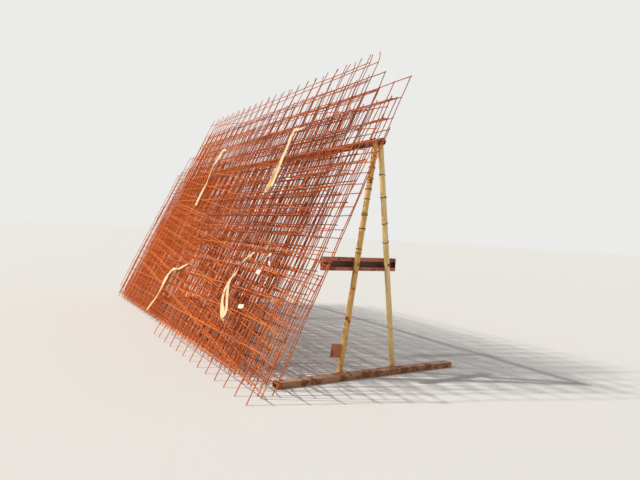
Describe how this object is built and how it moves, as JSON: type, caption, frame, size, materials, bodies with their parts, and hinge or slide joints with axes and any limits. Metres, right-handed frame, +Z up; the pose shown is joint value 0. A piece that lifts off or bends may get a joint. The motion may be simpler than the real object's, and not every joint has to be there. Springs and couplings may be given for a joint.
{
  "type": "stack of welded rebar mats on a trestle rack",
  "caption": "Rusty welded steel reinforcement mats leaning side by side on a two-trestle tube rack, with webbing slings hanging on their face.",
  "frame": {"origin": "on the floor, in the middle of the whole object's outline", "axes": "+X along the mats towards the trestle with the small leg plate, +Y from the mats towards the rack behind them, +Z up"},
  "size_m": [7.2313, 2.719, 3.7282],
  "materials": {
    "rusty_rebar": "hot-rolled reinforcing bar, rusted all over, orange-brown",
    "rusty_tube": "steel tube with a dark brown rust skin",
    "ochre_paint": "worn ochre yellow paint on steel tube with rust patches",
    "red_primer": "red-brown primer on rolled steel, faded and rusting",
    "sling_webbing": "cream woven webbing, weathered"
  },
  "bodies": {
    "root": {"mat_01": "rusty_rebar", "mat_02": "rusty_rebar", "mat_03": "rusty_rebar", "mat_04": "rusty_rebar", "mat_05": "rusty_rebar", "mat_06": "rusty_rebar", "mat_07": "rusty_rebar", "mat_08": "rusty_rebar", "mat_09": "rusty_rebar", "mat_10": "rusty_rebar", "mat_11": "rusty_rebar", "mat_12": "rusty_rebar", "mat_13": "rusty_rebar", "mat_14": "rusty_rebar", "mat_15": "rusty_rebar", "mat_16": "rusty_rebar", "mat_17": "rusty_rebar", "mat_18": "rusty_rebar", "mat_19": "rusty_rebar", "ridge_tube": "rusty_tube", "near_front_leg": "ochre_paint", "near_rear_leg": "ochre_paint", "near_tie": "red_primer", "near_sill": "red_primer", "leg_plate": "red_primer", "far_front_leg": "ochre_paint", "far_rear_leg": "ochre_paint", "far_tie": "red_primer", "far_sill": "red_primer", "sling_upper_left": "sling_webbing", "sling_upper_right": "sling_webbing", "sling_lower_right": "sling_webbing", "sling_lower_left": "sling_webbing"}
  },
  "joints": []
}
